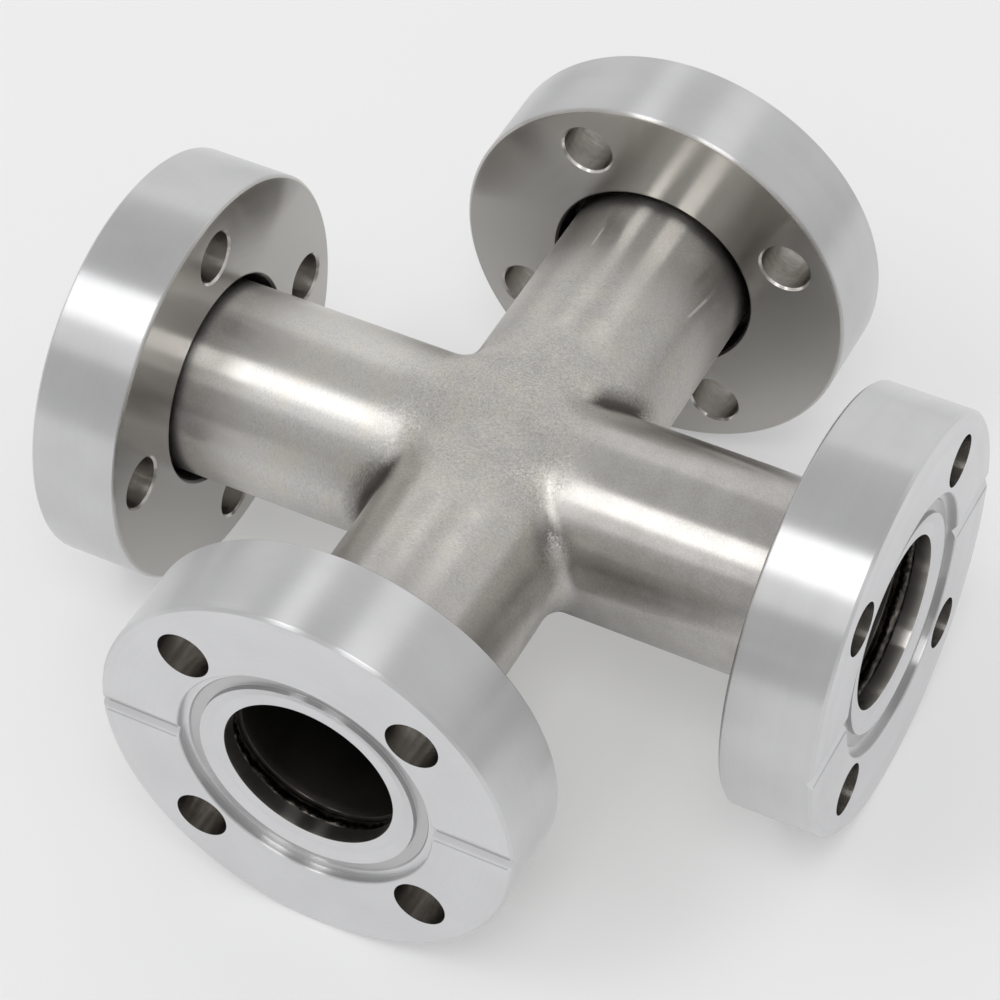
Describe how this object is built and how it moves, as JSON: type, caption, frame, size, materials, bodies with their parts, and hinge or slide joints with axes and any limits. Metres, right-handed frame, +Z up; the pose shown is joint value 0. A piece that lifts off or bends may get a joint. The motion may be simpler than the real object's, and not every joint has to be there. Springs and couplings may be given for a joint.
{
  "type": "vacuum four-way cross",
  "caption": "Four-way vacuum cross: one-piece tube body with round knife-edge bolt flanges on its arms, some welded on and some with bolt rings that turn.",
  "frame": {"origin": "where the axes of the two crossing tubes meet, which is also the centre of the bounding box", "axes": "+X along the arm of the right welded flange, -Y along the arm of the front welded flange, +Z up from the plane of the four arms"},
  "size_m": [0.1046, 0.1046, 0.0538],
  "materials": {
    "blasted_steel": "bead-blasted, faintly mottled",
    "turned_steel": "fine turned satin",
    "spring_wire": "drawn wire",
    "weld_metal": "as welded, rippled"
  },
  "bodies": {
    "body": {"cross_tube": "blasted_steel", "flange_front": "turned_steel", "flange_right": "turned_steel", "insert_left": "turned_steel", "insert_back": "turned_steel", "retainer_left": "spring_wire", "retainer_back": "spring_wire", "weld_front": "weld_metal", "weld_right": "weld_metal", "weld_left": "weld_metal", "weld_back": "weld_metal"},
    "ring_left": {"ring_left": "turned_steel"},
    "ring_back": {"ring_back": "turned_steel"}
  },
  "joints": [
    {"name": "ring_left_turn", "type": "hinge", "parent": "body", "child": "ring_left", "pos_m": [-0.04635, 0, 0], "axis": [1, 0, 0], "continuous": true},
    {"name": "ring_back_turn", "type": "hinge", "parent": "body", "child": "ring_back", "pos_m": [0, 0.04635, 0], "axis": [0, 1, 0], "continuous": true}
  ]
}
